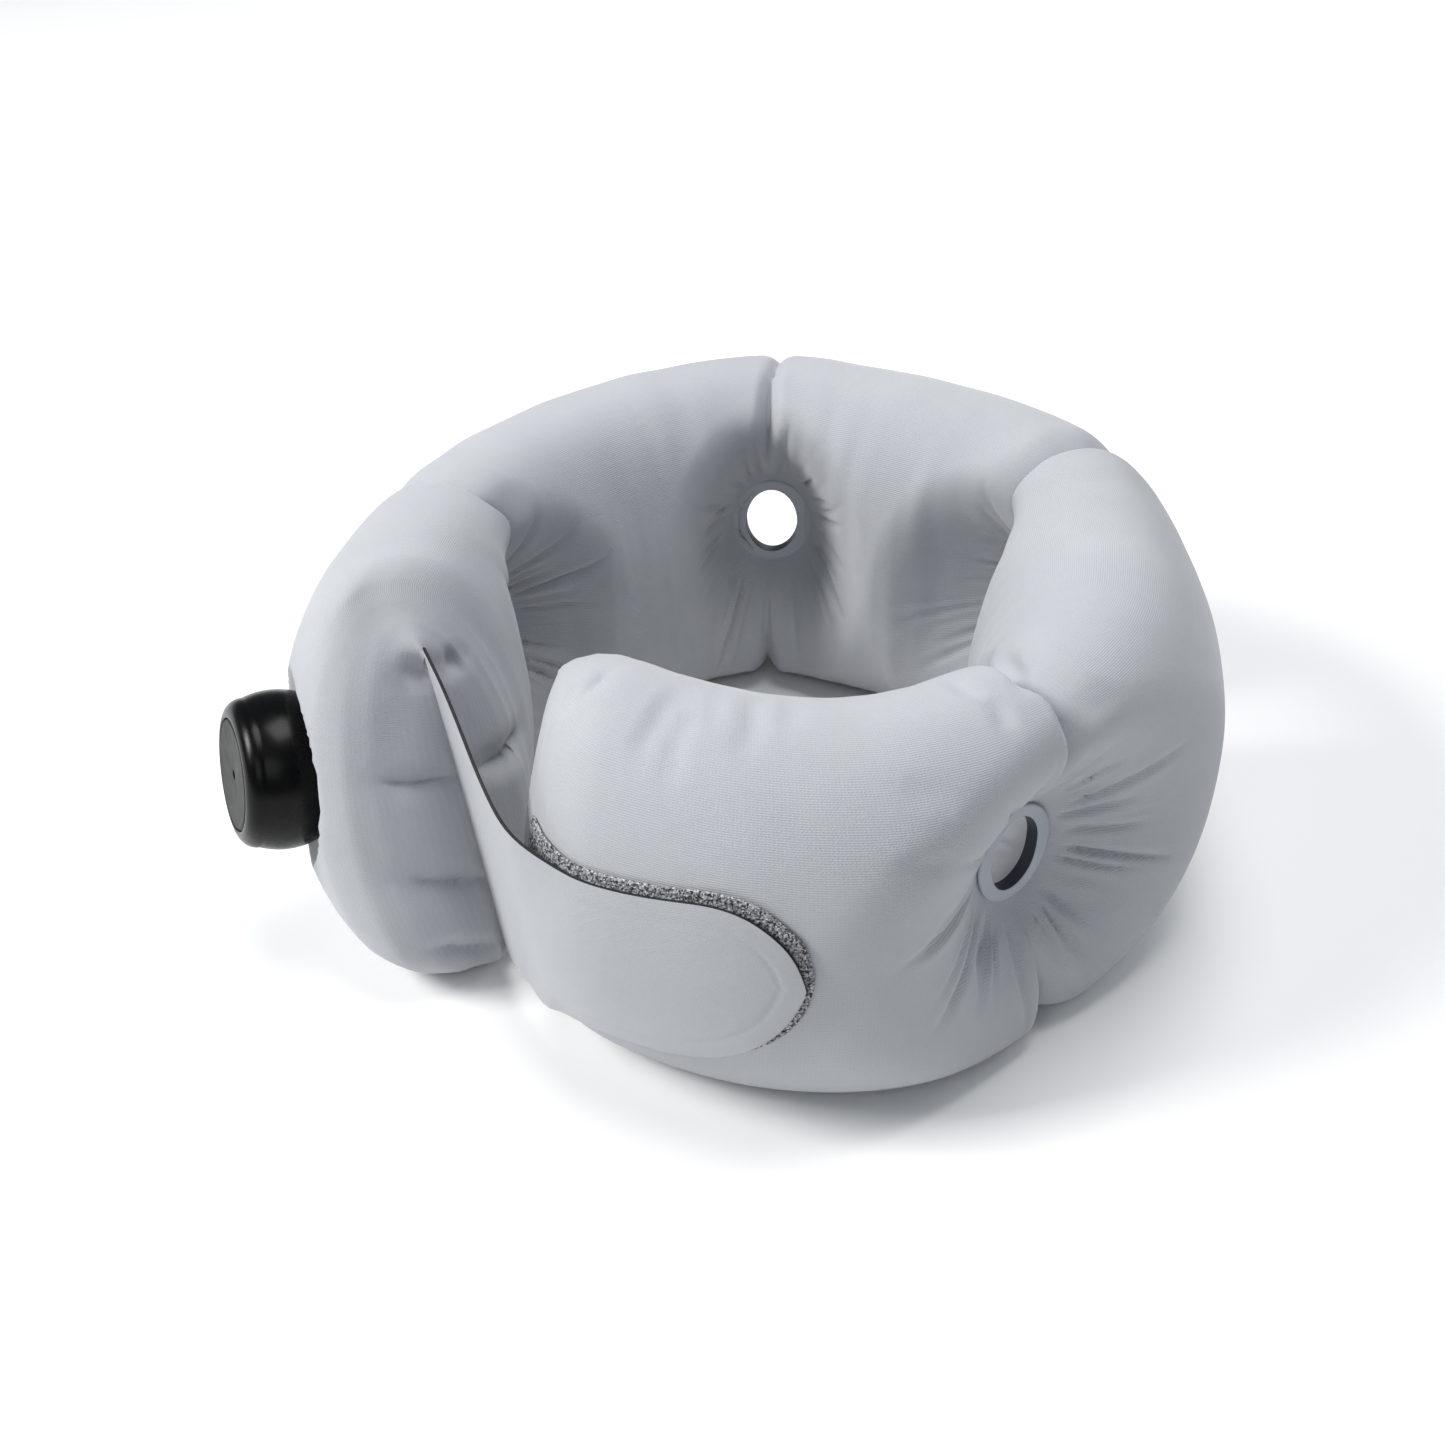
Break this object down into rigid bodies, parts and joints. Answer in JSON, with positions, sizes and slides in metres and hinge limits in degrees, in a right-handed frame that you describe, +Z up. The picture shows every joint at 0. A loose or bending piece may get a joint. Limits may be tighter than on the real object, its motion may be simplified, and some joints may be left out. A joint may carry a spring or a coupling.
{
  "type": "wrap-round inflatable neck pillow",
  "caption": "Ring-shaped inflatable neck pillow made of folding air chambers with welded eyelets, a press pump and a hook-and-loop front strap.",
  "frame": {"origin": "bottom centre of the bounding box, on the surface the pillow rests on", "axes": "+Z up through the neck opening, -Y towards the closing strap, -X towards the pump"},
  "size_m": [0.3068, 0.2886, 0.1212],
  "materials": {
    "skin": "fine ribbed stretch fabric, matt, soft sheen",
    "rim": "smooth heat-pressed rim",
    "strap": "laminated stretch fabric, cut edge dark",
    "hook": "hook tape",
    "loop": "speckled loop pile",
    "film": "flexible film",
    "pump_plastic": "moulded",
    "seal": "smooth",
    "pump_rubber": "satin",
    "pump_face": "fine matt texture",
    "foam": "open-cell foam"
  },
  "bodies": {
    "back_right": {"chamber_3_back_right": "skin", "fold_web_b": "skin", "eyelet_ring_b": "rim", "fold_web_c": "skin", "eyelet_ring_c": "rim"},
    "back_left": {"chamber_2_back_left": "skin", "fold_web_a": "skin", "eyelet_ring_a": "rim"},
    "pump_end": {"chamber_1_pump_end": "skin", "valve_seat": "film"},
    "right": {"chamber_4_right": "skin", "fold_web_d": "skin", "eyelet_ring_d": "rim"},
    "front": {"chamber_5_front": "skin", "loop_patch": "loop"},
    "strap": {"closure_strap": "strap", "hook_patch": "hook"},
    "pump": {"pump_plug": "pump_plastic", "pump_o_ring": "seal", "pump_bulb": "pump_rubber", "pump_foam_core": "foam"},
    "press_face": {"pump_press_face": "pump_face"},
    "inlet_valve": {"inlet_flap": "seal"},
    "outlet_valve": {"outlet_flap": "seal"}
  },
  "joints": [
    {"name": "seam_b_bend", "type": "hinge", "parent": "back_right", "child": "back_left", "pos_m": [0.02017, 0.14699, 0.06], "axis": [0, 0, -1], "range_deg": [0, 25], "stiffness_Nm_per_rad": 0.5},
    {"name": "seam_a_bend", "type": "hinge", "parent": "back_left", "child": "pump_end", "pos_m": [-0.11795, 0.03997, 0.06], "axis": [0, 0, -1], "range_deg": [0, 25], "stiffness_Nm_per_rad": 0.5},
    {"name": "seam_c_bend", "type": "hinge", "parent": "back_right", "child": "right", "pos_m": [0.14094, 0.06742, 0.06], "axis": [0, 0, 1], "range_deg": [0, 25], "stiffness_Nm_per_rad": 0.5},
    {"name": "seam_d_bend", "type": "hinge", "parent": "right", "child": "front", "pos_m": [0.10227, -0.10515, 0.06], "axis": [0, 0, 1], "range_deg": [0, 25], "stiffness_Nm_per_rad": 0.5},
    {"name": "strap_peel", "type": "hinge", "parent": "pump_end", "child": "strap", "pos_m": [-0.07683, -0.05307, 0.0545], "axis": [0.1931, -0.2582, -0.9466], "range_deg": [0, 75], "deforming": ["closure_strap", "hook_patch"]},
    {"name": "pump_pull", "type": "slide", "parent": "pump_end", "child": "pump", "axis": [-0.9047, -0.4028, 0.1392], "range_m": [0, 0.014]},
    {"name": "pump_press", "type": "slide", "parent": "pump", "child": "press_face", "axis": [0.9047, 0.4028, -0.1392], "range_m": [0, 0.01], "stiffness_N_per_m": 400, "deforming": ["pump_bulb", "pump_foam_core"]},
    {"name": "inlet_flap_lift", "type": "slide", "parent": "press_face", "child": "inlet_valve", "axis": [0.9047, 0.4028, -0.1392], "range_m": [0, 0.0012], "stiffness_N_per_m": 20},
    {"name": "outlet_flap_lift", "type": "slide", "parent": "pump", "child": "outlet_valve", "axis": [0.9047, 0.4028, -0.1392], "range_m": [0, 0.0015], "stiffness_N_per_m": 20}
  ],
  "couplings": [
    {"joint": "seam_d_bend", "follows": "seam_c_bend", "ratio": 1},
    {"joint": "strap_peel", "follows": "seam_c_bend", "ratio": 3}
  ]
}
